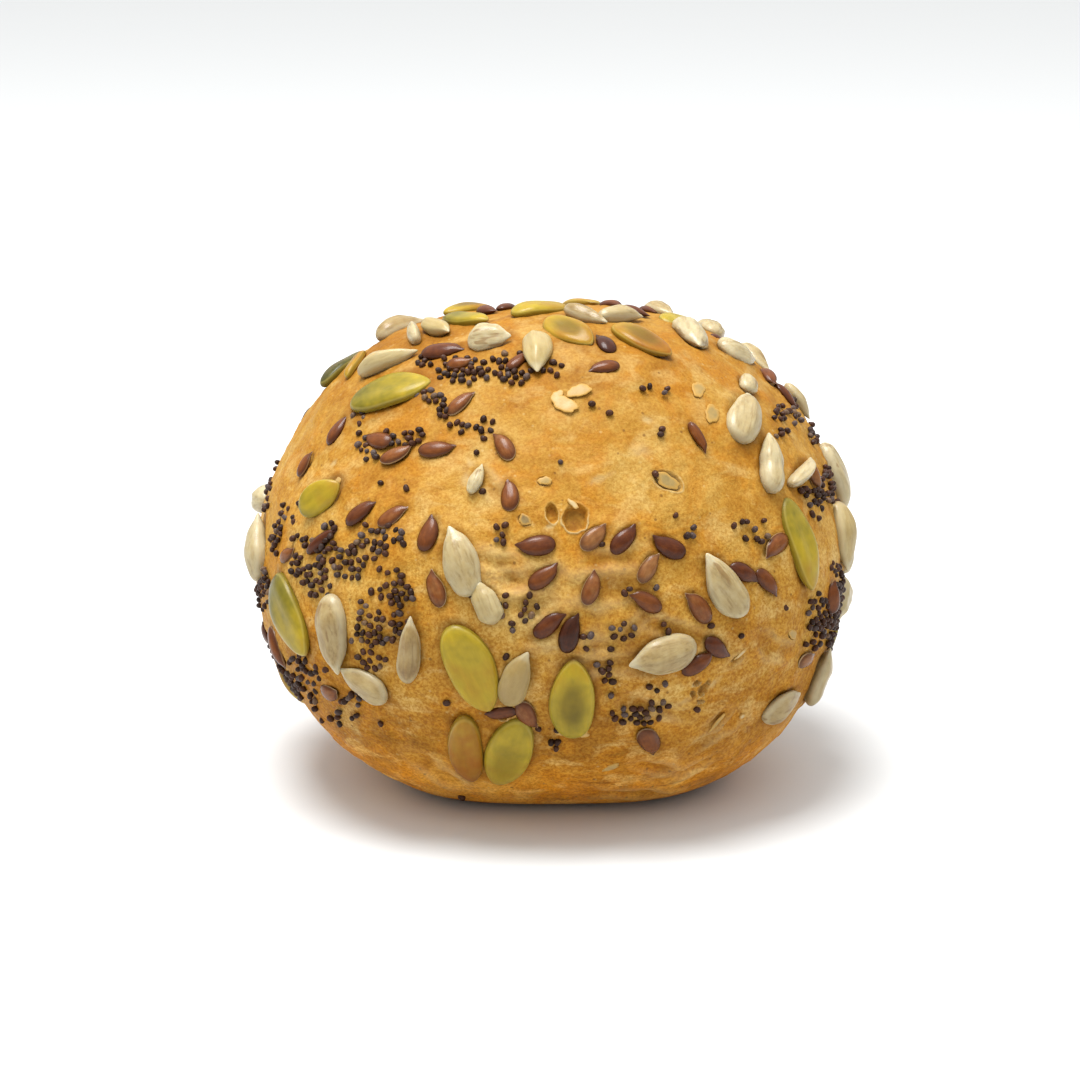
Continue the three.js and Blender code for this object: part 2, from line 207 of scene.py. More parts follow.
# A poppy seed's size and its least gap to the next, in millimetres, how far a drift strays past
# its half sizes, and how many places are tried for each seed
POPPY_SIZE = 1.06
POPPY_GAP = 0.84
POPPY_SPREAD = 1.25
POPPY_TRIES = 8
POPPY_SEED = 905

# The marks in the crust, each as (x, y, length, width, turn, depth, paleness): its middle in the
# picture, its size in pixels, the way it runs in degrees, its depth in millimetres, and from 0,
# amber, to 1, cream, what colour is bared inside it
MARKS = (
    (575, 518, 30, 26, 80, 1.4, 0.1), (552, 513, 23, 13, 100, 0.9, 0.0), (549, 527, 14, 8, 30, 0.1, 0.9),
    (668, 481, 34, 20, -25, 0.5, 0.7), (703, 690, 15, 10, 60, 1.1, 0.3), (697, 684, 9, 7, 10, 0.8, 0.3),
    (693, 694, 9, 6, 120, 0.8, 0.4), (708, 683, 8, 6, 40, 0.8, 0.3), (701, 702, 8, 5, 0, 0.7, 0.6),
    (685, 700, 24, 9, 10, 0.12, 0.8), (714, 684, 22, 8, 40, 0.1, 0.8), (500, 714, 20, 8, -40, 0.9, 0.0),
    (544, 481, 14, 10, 0, 0.3, 0.5), (524, 520, 16, 10, -30, 0.3, 0.5), (791, 635, 15, 9, -40, 0.4, 0.7),
    (647, 419, 18, 14, 0, 0.12, 0.8), (605, 621, 20, 11, -50, 0.06, 0.0), (515, 591, 26, 10, 10, 0.1, 0.6),
    (548, 649, 34, 8, 8, 0.1, 0.6), (466, 480, 16, 26, 0, 0.1, 0.7), (430, 452, 18, 7, -30, 0.1, 0.8),
    (736, 658, 13, 4, 45, 0.35, 0.9), (470, 462, 20, 9, -45, 0.1, 0.7), (334, 464, 12, 8, 20, 0.1, 0.9),
    (743, 572, 12, 8, 30, 0.1, 0.2), (600, 478, 40, 10, 20, 0.08, 0.6), (640, 450, 30, 20, 0, 0.06, 0.5),
)
HIDDEN_MARKS = 22

# The depth in millimetres above which a mark has a crisp edge and a finer mesh, and how much less
# a pixel spans at the crust's near side than at the roll's axis
SHALLOW = 0.2
NEARER_SCALE = 0.92

# Flat chips of seed that lie nearly flush with the crust, each as (x, y, length, width, turn,
# tone): its middle in the picture, its size in pixels, the way it runs, and how dark it is
CHIPS = (
    (564, 404, 29, 18, -35, 0.3), (579, 391, 24, 16, 15, 0.4), (557, 396, 16, 10, 40, 0.4),
    (667, 481, 28, 14, -25, 0.68), (698, 390, 24, 15, 80, 0.5), (712, 414, 26, 16, 60, 0.55),
    (611, 767, 19, 9, 25, 0.3), (717, 722, 25, 5, 50, 0.45), (525, 520, 14, 10, -30, 0.85),
    (573, 504, 15, 5, -45, 0.0), (740, 654, 15, 4, 40, 0.0), (742, 716, 7, 6, 30, 0.1),
    (545, 481, 14, 9, 10, 0.45), (338, 482, 16, 9, 60, 0.3), (792, 634, 16, 9, -50, 0.5),
    (573, 733, 34, 12, 0, 0.1),
)

# The creases in the crust, each as (x, y, x, y, width, depth): its two ends in the picture, and
# its width and depth in millimetres
CREASES = (
    (662, 779, 716, 756, 1.0, 0.8), (640, 766, 690, 772, 0.8, 0.5), (724, 712, 709, 728, 0.7, 0.6),
    (744, 653, 730, 665, 0.6, 0.5), (548, 590, 640, 586, 1.2, 0.4), (470, 560, 520, 572, 1.0, 0.7),
    (560, 650, 622, 644, 1.1, 0.5), (470, 470, 500, 500, 0.8, 0.4), (590, 560, 640, 556, 1.0, 0.5),
    (760, 640, 790, 655, 0.9, 0.5), (500, 610, 560, 600, 1.1, 0.5), (420, 760, 470, 790, 1.3, 0.4),
    (590, 790, 700, 786, 1.4, 0.5), (500, 585, 560, 575, 0.9, 0.45), (560, 665, 640, 660, 1.0, 0.6),
    (476, 572, 530, 590, 0.8, 0.6), (640, 620, 700, 640, 0.9, 0.5), (690, 750, 740, 715, 0.8, 0.6),
    (630, 700, 690, 715, 0.8, 0.4), (650, 610, 622, 640, 0.7, 0.4), (520, 640, 560, 628, 0.9, 0.5),
)
HIDDEN_CREASES = 18

# How bright the studio's sky is at its foot, and how much brighter right above
SKY_LOW = 0.38
SKY_RISE = 1.3

# What a surface gives back of the light, as a share of the colour that it shows in the studio
GIVEN_BACK = (0.57, 0.57, 0.57)
WHITE = (1.0, 1.0, 1.0)


# Repeatable numbers from 0 to 1, by Lehmer's rule
class Random:
    MODULUS = 2147483647
    FACTOR = 48271

    def __init__(self, seed):
        self.state = seed

    def __call__(self):
        self.state = self.state * self.FACTOR % self.MODULUS
        return self.state / self.MODULUS

    def between(self, low, high):
        return low + (high - low) * self()

    def bell(self):
        return (self() + self() + self()) * 2 / 3 - 1


def smoothstep(value, low, high):
    share = np.clip((value - low) / (high - low), 0, 1)
    return share * share * (3 - 2 * share)


# A smooth hump of height 1 round a middle value
def hump(value, middle, width):
    return np.exp(-(((value - middle) / width) ** 2))


def unit(vectors):
    return vectors / np.linalg.norm(vectors, axis=-1, keepdims=True)


def near_points(points, middle, reach):
    return np.flatnonzero(((points - middle) ** 2).sum(1) < reach ** 2)


# How far the crust lies from the centre, for an array of directions
def crust_reach(directions):
    x, y, z = directions[..., 0] - LEAN * directions[..., 2], directions[..., 1], directions[..., 2]
    round_section = np.hypot(x, y)
    square_section = (np.abs(x) ** BASE_SQUARENESS + np.abs(y) ** BASE_SQUARENESS) ** (
        1 / BASE_SQUARENESS
    )
    share = BASE_SQUARE_SHARE * smoothstep(-z, 0.25, 0.8)
    across = round_section + (square_section - round_section) * share
    reach = np.where(z > 0, TOP_REACH, LOW_REACH)
    fullness = np.where(z > 0, TOP_FULLNESS, LOW_FULLNESS)
    distance = ((across / HALF_WIDTH) ** fullness + (np.abs(z) / reach) ** fullness) ** (-1 / fullness)
    for wave_x, wave_y, wave_z, phase, height in SWELLS:
        wave = wave_x * directions[..., 0] + wave_y * y + wave_z * z + phase
        distance = distance + height * np.cos(wave)
    to_table = CENTRE_HEIGHT / np.maximum(-z, 0.001)
    blend = np.maximum(BASE_EDGE - np.abs(distance - to_table), 0) / BASE_EDGE
    return np.minimum(distance, to_table) - blend * blend * BASE_EDGE / 4


def crust_point(directions):
    return CENTRE + directions * crust_reach(directions)[..., None]


# Outward directions of the crust, each from two short steps to each side. The tiny number gives
# the two poles an east as well
def crust_normal(directions, step=0.03, tiny=1e-9):
    x, y = directions[..., 0], directions[..., 1]
    east = unit(np.stack([-y, x + tiny, 0 * x], -1))
    north = np.cross(directions, east)
    along_east, along_north = (
        crust_point(unit(directions + step * way)) - crust_point(unit(directions - step * way))
        for way in (east, north)
    )
    return unit(np.cross(along_east, along_north))


# The directions from the centre to the crust where pixels of the photograph's view see it, or
# where their sight lines pass nearest
def directions_at_pixels(pixels, reach_ahead=60, shortest_step=0.1):
    pixels = np.asarray(pixels, float).reshape(-1, 2)
    right = (pixels[:, :1] - PICTURE_CENTRE) * MM_PER_PIXEL
    up = (PICTURE_CENTRE - pixels[:, 1:]) * MM_PER_PIXEL
    sights = unit(VIEW_FORWARD * VIEW_DISTANCE + VIEW_RIGHT * right + VIEW_UP * up)
    along = np.full(len(pixels), float(VIEW_DISTANCE - reach_ahead))
    nearest_gap = np.full(len(pixels), np.inf)
    nearest = np.zeros((len(pixels), 3))
    going = np.ones(len(pixels), bool)
    while going.any():
        offset = EYE + sights * along[:, None] - CENTRE
        distance = np.linalg.norm(offset, axis=1)
        directions = offset / distance[:, None]
        gap = distance - crust_reach(directions)
        nearer = going & (gap < nearest_gap)
        nearest_gap[nearer] = gap[nearer]
        nearest[nearer] = directions[nearer]
        along += np.where(going, np.maximum(gap * 0.7, shortest_step), 0)
        going &= (along < VIEW_DISTANCE + reach_ahead) & (nearest_gap > 0)
    return nearest


# The way along the crust that the photograph's view shows at an angle in the picture
def along_at_angle(normal, degrees):
    angle = math.radians(degrees)
    way = VIEW_RIGHT * math.cos(angle) + VIEW_UP * math.sin(angle)
    facing = max(-(normal @ VIEW_FORWARD), 0.25)
    slide = min(max(way @ normal / facing, -1.5), 1.5)
    way = way + VIEW_FORWARD * slide
    return unit(way - normal * (way @ normal))


# A seed lying on the crust, with its own copy of its kind's shape
def place_seed(kind, direction, along, random, tone, size=1.0, stand=0.0, girth=1.0):
    return dict(
        kind=kind,
        direction=direction,
        along=along,
        tone=tone,
        tilt=math.radians(stand) + (random() * 2 - 1) * MAX_TILT,
        pitch=(random() * 2 - 1) * MAX_TILT * 0.5,
        size=size * (0.95 + 0.1 * random()),
        shape=dict(KINDS[kind], width=KINDS[kind]["width"] * girth),
    )


def place_shown_seeds(random):
    placed = []
    for kind, rows in SHOWN_SEEDS.items():
        directions = directions_at_pixels([row[:2] for row in rows])
        for direction, (_, _, turn, *rest) in zip(directions, rows):
            along = along_at_angle(crust_normal(direction), turn)
            placed.append(place_seed(kind, direction, along, random, *rest))
    return placed


def is_crowded(kind, direction, placed):
    point = crust_point(direction)
    for seed in placed:
        room = (KINDS[kind]["length"] + KINDS[seed["kind"]]["length"]) * CROWDING
        if np.linalg.norm(crust_point(seed["direction"]) - point) < room:
            return True
    return False


def direction_at(around, height):
    flat = math.sqrt(1 - height * height)
    return np.array([flat * math.cos(around), flat * math.sin(around), height])


def is_hidden(direction):
    return -(crust_normal(direction) @ VIEW_FORWARD) < FACING_LIMIT


# The seeds that the view doesn't reach, the largest kind first, by the solid's own rule
def place_hidden_seeds(placed, random):
    tones = Random(HIDDEN_SEED + 1)
    for kind, count in HIDDEN_COUNTS.items():
        left = count
        while left > 0:
            height = LOWEST_HIDDEN + (1 - LOWEST_HIDDEN) * random()
            around = 2 * math.pi * random()
            turn = 2 * math.pi * random()
            direction = direction_at(around, height)
            if is_hidden(direction) and not is_crowded(kind, direction, placed):
                normal = crust_normal(direction)
                along = unit(np.array([-direction[1], direction[0], 0])) * math.cos(turn)
                along = along + unit(np.cross(normal, along)) * math.sin(turn)
                along = unit(along - normal * (along @ normal))
                size = 0.85 + 0.25 * random()
                placed.append(place_seed(kind, direction, along, random, tones(), size, 0, HIDDEN_GIRTH))
                left -= 1
    return placed


# A seed's own axes: its middle in millimetres, and the ways along, across and out of it
def seed_axes(seed):
    shape = seed["shape"]
    normal = crust_normal(seed["direction"])
    across = np.cross(normal, seed["along"])
    rise = abs(math.sin(seed["tilt"])) * (shape["width"] - shape["thickness"]) * STAND_LIFT
    lift = shape["lift"] + rise
    middle = crust_point(seed["direction"]) + normal * lift
    basis = Matrix(np.stack([seed["along"], across, normal], 1).tolist())
    turn = Matrix.Rotation(seed["pitch"], 3, "Y") @ Matrix.Rotation(seed["tilt"], 3, "X")
    return middle, np.array(basis @ turn)


# A closed grid of points round a seed's long axis: rows from blunt end to tip, and the angle
# round it, as (along from -1 to 1, sideways, upwards) on a unit ball
def ball_grid(rings, sides):
    steps = np.linspace(math.pi, 0, rings + 1)[1:-1]
    angles = np.arange(sides) * 2 * math.pi / sides
    step, angle = np.meshgrid(steps, angles, indexing="ij")
    body = np.stack([np.cos(step), np.sin(step) * np.cos(angle), np.sin(step) * np.sin(angle)], -1)
    points = np.concatenate([[[-1, 0, 0]], body.reshape(-1, 3), [[1, 0, 0]]])
    faces = []
    last = len(points) - 1
    for side in range(sides):
        beside = (side + 1) % sides
        faces.append((0, 1 + beside, 1 + side))
        for ring in range(rings - 2):
            low = 1 + ring * sides
            high = low + sides
            faces.append((low + side, low + beside, high + beside))
            faces.append((low + side, high + beside, high + side))
        top = 1 + (rings - 2) * sides
        faces.append((top + side, top + beside, last))
    return points, np.array(faces)


# Soft uneven waves along a row of points, with a few phases drawn for each seed
def waves(values, random, counts, height):
    total = np.zeros_like(values)
    for count in counts:
        total += np.sin(values * count + 2 * math.pi * random()) / count ** 0.5
    return total * height


# The outline that all seeds share, from points of a unit ball to millimetres on a seed of size 1
def narrow(points, shape):
    along = points[:, 0]
    girth = (1 - shape["taper"] * along) * (1 - np.clip(along, 0, 1) ** 3) ** shape["point"]
    x = (along / 2 + shape["nib"] * smoothstep(along, NIB_START, 1)) * shape["length"]
    y = points[:, 1] * girth * shape["width"] / 2
    z = points[:, 2] * girth * shape["thickness"] / 2
    return x, y, z


# How far points of the ball lie from its upright axis: 1 at a seed's rim
def from_middle(points):
    return np.minimum(np.hypot(points[:, 0], points[:, 1]), 1)


# Pumpkin seed: flat faces inside a low ridge, bent a little along its length
def form_pumpkin(points, shape, random, ridge_place=0.9, ridge_width=0.05, ridge=0.03, bow=85):
    x, y, z = narrow(points, shape)
    away = from_middle(points)
    face = np.sign(points[:, 2])
    z *= np.sqrt(1 - away ** 4) / np.maximum(np.abs(points[:, 2]), 0.001)
    z *= 1 - random.between(-0.12, 0.3) * hump(away, 0, 0.5)
    z += face * ridge * hump(away, ridge_place, ridge_width)
    z += waves(x, random, (0.35, 0.7), 0.1) + face * waves(y, random, (1.3, 2.1), 0.03)
    y += waves(x, random, (0.25, 0.5), 0.07)
    return np.stack([x, y, z - x * x / bow], 1)


# Sunflower kernel: plump, with a keel and, on the driest, fine wrinkles
def form_sunflower(points, shape, random, keel=0.14, bow=110):
    x, y, z = narrow(points, shape)
    angle = np.arctan2(points[:, 2], points[:, 1]) + 0.1 * np.sin(0.6 * x)
    dryness = random() ** 3
    ridge = 1 + waves(angle, random, (2, 3, 5), 0.045) + waves(x, random, (0.9, 1.7), 0.025)
    ridge += keel * hump(np.cos(angle), random.between(-0.3, 0.3), 0.22)
    ridge += dryness * (waves(angle, random, (7, 10), 0.04) + waves(x, random, (1.6, 2.7), 0.05))
    y = y * ridge + waves(x, random, (0.25, 0.5), 0.13)
    z = z * ridge + waves(x, random, (0.4, 0.8), 0.1)
    return np.stack([x, y, z - x * x / bow], 1)


# Flax seed: smooth and flat, with a faint groove and a tip hooked to one side
def form_flax(points, shape, random, groove=0.05, hook=0.36):
    x, y, z = narrow(points, shape)
    away = from_middle(points)
    side = 1 if random() > 0.5 else -1
    z *= 1.1 - 0.3 * away ** 4
    z -= groove * random() * hump(points[:, 1], 0, 0.25) * np.sign(points[:, 2])
    z += waves(x, random, (0.9, 1.7), 0.04)
    y += side * hook * smoothstep(points[:, 0], 0.5, 1) ** 2 + waves(x, random, (0.6, 1.1), 0.04)
    return np.stack([x, y, z], 1)


FORMS = {"pumpkin": form_pumpkin, "sunflower": form_sunflower, "flax": form_flax}

# Where each kind's row of numbers begins, picked so that the dark cores and the clear middles
# fall on the seeds that have them in the picture
FORM_SEEDS = {"pumpkin": 298469, "sunflower": 4226, "flax": 4221}

# How far a seed's tone drifts from its blunt end to its tip
TONE_FADE = {"pumpkin": 0.22, "sunflower": 0.0, "flax": 0.0}
GRAIN_SPREAD = 40
CHIP_THICKNESS = 0.13
CHIP_RISE = 0.03
CHIP_FLATNESS = 0.45


# A mesh object from millimetre points, with a material and an attribute for each named row
def make_piece(name, points, faces, slot, material, **attributes):
    mesh = bpy.data.meshes.new(name)
    mesh.from_pydata((points * METRES).tolist(), [], faces.tolist())
    mesh.shade_smooth()
    for attribute, row in attributes.items():
        kind, field = ("FLOAT", "value") if row.ndim == 1 else ("FLOAT_VECTOR", "vector")
        layer = mesh.attributes.new(attribute, kind, "POINT")
        layer.data.foreach_set(field, row.astype(np.float32).ravel())
    mesh.materials.append(material)
    piece = bpy.data.objects.new(name, mesh)
    bpy.context.scene.collection.objects.link(piece)
    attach(piece, "root")
    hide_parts("roll")


# Copies of one closed form as one mesh. Each copy gives its points and its attributes, and a
# single number stands for all of a copy's points
def make_copies(name, copies, faces, slot, material):
    count = len(copies[0]["points"])
    rows = {}
    for key, first in copies[0].items():
        parts = [copy[key] for copy in copies]
        if np.ndim(first) == 0:
            parts = [np.full(count, part) for part in parts]
        rows[key] = np.concatenate(parts)
    triangles = np.concatenate([faces + index * count for index in range(len(copies))])
    make_piece(name, rows.pop("points"), triangles, slot, material, **rows)


# All the seeds of one kind. "grain" runs with each seed, "tone" is its place in the kind's
# colours, "mark" a number of its own, "edge" grows to 1 at its rim and "tip" to 1 at its tip
def make_seeds(kind, seeds, material):
    ball, faces = ball_grid(KINDS[kind]["rings"], KINDS[kind]["sides"])
    random = Random(FORM_SEEDS[kind])
    copies = []
    for seed in seeds:
        local = FORMS[kind](ball, seed["shape"], random) * seed["size"]
        middle, axes = seed_axes(seed)
        copies.append(dict(
            points=middle + local @ axes.T,
            grain=local + GRAIN_SPREAD * np.array([random(), random(), random()]),
            tone=seed["tone"] + TONE_FADE[kind] * random.between(0.4, 1) * ball[:, 0],
            mark=random(),
            edge=from_middle(ball),
            tip=ball[:, 0],
        ))
    make_copies(kind + "_seeds", copies, faces, kind + "_seed", material)


# The chips of seed: flat flakes with an uneven outline, set into the crust
def make_chips(material):
    random = Random(HIDDEN_SEED + 3)
    ball, faces = ball_grid(14, 20)
    angle = np.arctan2(ball[:, 1], ball[:, 0])
    flat = np.sign(ball[:, 2]) * np.abs(ball[:, 2]) ** CHIP_FLATNESS
    copies = []
    for middle, along, across, half_length, half_width, tone in mark_frames(CHIPS):
        outline = 1 + waves(angle, random, (2, 3, 5, 8), 0.13)
        x = ball[:, 0] * outline * half_length
        y = ball[:, 1] * outline * half_width
        z = flat * CHIP_THICKNESS * (1 + waves(3 * x, random, (1, 2), 0.15)) + CHIP_RISE
        axes = np.stack([along, across, np.cross(along, across)])
        points = middle + np.stack([x, y, z], 1) @ axes
        copies.append(dict(points=points, tone=tone, edge=from_middle(ball)))
    make_copies("seed_chips", copies, faces, "sunflower_seed", material)


def is_covered(point, covers):
    for middle, axes, half_size in covers:
        along, across, _ = (point - middle) @ axes / half_size
        if math.hypot(along, across) < 0.9:
            return True
    return False


# Drops the places that lie too near to one before them or inside a large seed, and stops at a
# count
def spread_apart(directions, taken, covers, count):
    kept = []
    for direction in directions:
        point = crust_point(direction)
        if len(kept) == count:
            break
        if taken and np.linalg.norm(np.array(taken) - point, axis=1).min() < POPPY_GAP:
            continue
        if not is_covered(point, covers):
            kept.append(direction)
            taken.append(point)
    return kept


# Places of poppy seeds: the shown drifts, then drifts where the view doesn't reach
def place_poppies(seeds):
    random = Random(POPPY_SEED)
    covers = []
    for seed in seeds:
        half_size = seed["size"] / 2 * np.array([seed["shape"]["length"], seed["shape"]["width"], 2])
        covers.append((*seed_axes(seed), half_size))
    pixels = []
    for x, y, half_width, half_height, count in POPPY_DRIFTS:
        for _ in range(count * POPPY_TRIES):
            around, out = 2 * math.pi * random(), POPPY_SPREAD * random() ** 0.7
            across, down = half_width * out * math.cos(around), half_height * out * math.sin(around)
            pixels.append((x + across, y + down))
    tries = directions_at_pixels(pixels)
    kept, taken = [], []
    for *_, count in POPPY_DRIFTS:
        kept += spread_apart(tries[:count * POPPY_TRIES], taken, covers, count)
        tries = tries[count * POPPY_TRIES:]
    drifts = 0
    while drifts < HIDDEN_DRIFTS:
        middle = direction_at(2 * math.pi * random(), random.between(LOWEST_HIDDEN, 0.98))
        if not is_hidden(middle):
            continue
        drifts += 1
        spread = random.between(*HIDDEN_DRIFT_SPREAD)
        count = int(random.between(*HIDDEN_DRIFT_COUNT))
        offsets = [spread * np.array([random.bell(), random.bell(), random.bell()]) for _ in range(count)]
        kept += spread_apart([unit(middle + offset) for offset in offsets], taken, covers, count)
    return kept


# The poppy seeds: small kidney forms, each turned and sized on its own
def make_poppies(seeds, material):
    random = Random(POPPY_SEED + 1)
    ball, faces = ball_grid(7, 9)
    dent = 0.25 * hump(ball[:, 0], 0, 0.4) * hump(ball[:, 1], 0.9, 0.5)
    kidney = ball * np.array([1.0, 0.88, 0.8]) * (1 - dent)[:, None]
    copies = []
    for direction in place_poppies(seeds):
        axis = Vector((random.bell(), random.bell(), random.bell() + 0.01))
        spin = np.array(Matrix.Rotation(2 * math.pi * random(), 3, axis))
        size = POPPY_SIZE / 2 * random.between(0.84, 1.12)
        middle = crust_point(direction) + crust_normal(direction) * size * random.between(0.2, 0.6)
        copies.append(dict(points=middle + size * kidney @ spin.T, tone=random()))
    make_copies("poppy_seeds", copies, faces, "poppy_seed", material)


# An even mesh of unit directions: each face of an icosahedron cut into rows of triangles
def geodesic_sphere(rows):
    solid = bmesh.new()
    bmesh.ops.create_icosphere(solid, subdivisions=1, radius=1)
    corners = np.array([[vertex.co[:] for vertex in face.verts] for face in solid.faces])
    solid.free()
    cells = [(i, j) for i in range(rows + 1) for j in range(rows + 1 - i)]
    place = {cell: index for index, cell in enumerate(cells)}
    faces = []
    for i, j in cells:
        if i + j < rows:
            faces.append((place[i, j], place[i + 1, j], place[i, j + 1]))
        if i + j < rows - 1:
            faces.append((place[i + 1, j], place[i + 1, j + 1], place[i, j + 1]))
    share = np.array(cells) / rows
    first, second, third = corners[:, 0, None], corners[:, 1, None], corners[:, 2, None]
    points = first + (second - first) * share[None, :, :1] + (third - first) * share[None, :, 1:]
    faces = np.array(faces)[None] + np.arange(len(corners))[:, None, None] * len(cells)
    points = unit(points.reshape(-1, 3))
    _, kept, merged = np.unique(np.round(points, 6), axis=0, return_index=True, return_inverse=True)
    return points[kept], merged.reshape(-1)[faces.reshape(-1, 3)]


# Cuts the triangles finer at the marks, twice over
def refine(directions, faces, marks):
    mesh = bpy.data.meshes.new("crust_cells")
    mesh.from_pydata(directions.tolist(), [], faces.tolist())
    surface = bmesh.new()
    surface.from_mesh(mesh)
    bpy.data.meshes.remove(mesh)
    for reach in (1.6, 1.35):
        points = crust_point(unit(np.array([vertex.co[:] for vertex in surface.verts])))
        near = np.zeros(len(points), bool)
        for middle, _, _, half_length, _, depth, _ in marks:
            if depth > SHALLOW:
                near[near_points(points, middle, half_length * reach)] = True
        edges = [edge for edge in surface.edges if all(near[vertex.index] for vertex in edge.verts)]
        bmesh.ops.subdivide_edges(surface, edges=edges, cuts=1, use_grid_fill=True)
        bmesh.ops.triangulate(surface, faces=surface.faces[:])
        surface.verts.index_update()
    directions = unit(np.array([vertex.co[:] for vertex in surface.verts]))
    faces = np.array([[vertex.index for vertex in face.verts] for face in surface.faces])
    surface.free()
    return directions, faces


def uneven(points, size, octaves=3):
    scaled = points / size
    return np.array([noise.fractal(Vector(point), 0.8, 2.1, octaves) for point in scaled])


# What the seeds do to the crust: it gives way under them, rises in a lip round them and is darkened round
# them, partly a real stain and partly painted shade next to them
def press_seeds(points, seeds, sink=0.3, lip_place=1.13, lip_width=0.17, lip_height=0.075):
    lift = np.zeros(len(points))
    stain = np.zeros(len(points))
    for seed in seeds:
        middle, axes = seed_axes(seed)
        half_length, half_width = (seed["shape"][key] * seed["size"] / 2 for key in ("length", "width"))
        near = near_points(points, middle, half_length * 1.7)
        local = (points[near] - middle) @ axes
        away = np.hypot(local[:, 0] / half_length, local[:, 1] / half_width)
        lip = lip_height * half_width * hump(away, lip_place, lip_width)
        lift[near] += lip - sink * (1 - smoothstep(away, 0.6, 1.0))
        # A darkened ring round each seed: partly a real stain, partly painted shade next to it
        stain[near] = np.maximum(stain[near], 1 - smoothstep(away, 0.95, 1.45))
    return lift, stain


# The marks: hollows with a thin raised rim, strongest at their lower side, and what each bares
def sink_marks(points, marks, wobble, rim_place=1.05, rim_width=0.06, rim_height=0.12, full_rim=0.7):
    lift = np.zeros(len(points))
    pale = np.zeros(len(points))
    amber = np.zeros(len(points))
    for middle, along, across, half_length, half_width, depth, paleness in marks:
        near = near_points(points, middle, half_length * 2)
        local = points[near] - middle
        ragged, flat_share = (0.12, 0.7) if depth > SHALLOW else (0.45, 0.2)
        away = np.hypot(local @ along / half_length, local @ across / half_width)
        away *= 1 + ragged * wobble[near]
        inside = 1 - smoothstep(away, flat_share, 1.0)
        rim = hump(away, rim_place, rim_width) * min(depth / full_rim, 1)
        rim *= 0.15 + 0.85 * smoothstep(-local[:, 2] / half_length, -0.5, 0.4)
        lift[near] += rim_height * depth * rim - depth * inside
        pale[near] = np.maximum(pale[near], np.maximum(inside * paleness * 0.8, rim))
        amber[near] = np.maximum(amber[near], inside * (1 - paleness) * (1 - rim))
    return lift, pale, amber


# The creases: shallow wandering grooves with a soft pale ridge to each side, and painted shade in their
# hollows
def fold_creases(points, creases, wobble, ridge_place=1.5, ridge_width=0.6, ridge_height=0.45):
    lift = np.zeros(len(points))
    pale = np.zeros(len(points))
    groove = np.zeros(len(points))
    for start, end, width, depth in creases:
        run = end - start
        length = np.linalg.norm(run)
        near = near_points(points, (start + end) / 2, length / 2 + 4 * width)
        local = points[near] - start
        share = np.clip(local @ run / length ** 2, 0, 1)
        away = np.linalg.norm(local - share[:, None] * run, axis=1) / width + 1.1 * wobble[near]
        fade = np.sin(math.pi * np.clip(share * 0.94 + 0.03, 0, 1)) ** 0.6
        ridges = fade * hump(np.abs(away), ridge_place, ridge_width)
        hollow = fade * hump(away, 0, 1)
        lift[near] += depth * (ridge_height * ridges - hollow)
        pale[near] = np.maximum(pale[near], 0.4 * ridges)
        # Painted shade in the crease's hollow, darkening the crust there
        groove[near] = np.maximum(groove[near], 0.8 * hollow)
    return lift, pale, groove


# Rows that begin (x, y, length, width, turn) in the picture, set on the crust: the middle, the
# ways along and across, half the length and half the width in millimetres, and the row's rest
def mark_frames(rows):
    frames = []
    directions = directions_at_pixels([row[:2] for row in rows])
    for direction, (_, _, length, width, turn, *rest) in zip(directions, rows):
        normal = crust_normal(direction)
        along = along_at_angle(normal, turn)
        half_length, half_width = np.array([length, width]) * MM_PER_PIXEL * NEARER_SCALE / 2
        sizes = (half_length, half_width, *rest)
        frames.append((crust_point(direction), along, np.cross(normal, along), *sizes))
    return frames


# Marks of the same kinds where the view doesn't reach
def hidden_marks(random):
    frames = []
    while len(frames) < HIDDEN_MARKS:
        direction = direction_at(2 * math.pi * random(), random.between(LOWEST_HIDDEN, 0.95))
        half_length = random.between(0.6, 1.8)
        half_width = half_length * random.between(0.4, 0.9)
        depth = random.between(0.3, 1.1) if random() > 0.6 else 0.1
        paleness = random()
        normal = crust_normal(direction)
        along = along_at_angle(normal, 360 * random())
        if is_hidden(direction):
            across = np.cross(normal, along)
            sizes = (half_length, half_width, depth, paleness)
            frames.append((crust_point(direction), along, across, *sizes))
    return frames


# The shown creases and some where the view doesn't reach, each as (start, end, width, depth)
def all_creases(random):
    starts = crust_point(directions_at_pixels([crease[:2] for crease in CREASES]))
    ends = crust_point(directions_at_pixels([crease[2:4] for crease in CREASES]))
    rows = [(start, end, crease[4], crease[5]) for start, end, crease in zip(starts, ends, CREASES)]
    while len(rows) < len(CREASES) + HIDDEN_CREASES:
        start = direction_at(2 * math.pi * random(), random.between(-0.7, 0.9))
        end = unit(start + 0.16 * np.array([random.bell(), random.bell(), 0.4 * random.bell()]))
        width, depth = random.between(0.7, 1.4), random.between(0.2, 0.45)
        if is_hidden(start) and is_hidden(end):
            rows.append((crust_point(start), crust_point(end), width, depth))
    return rows
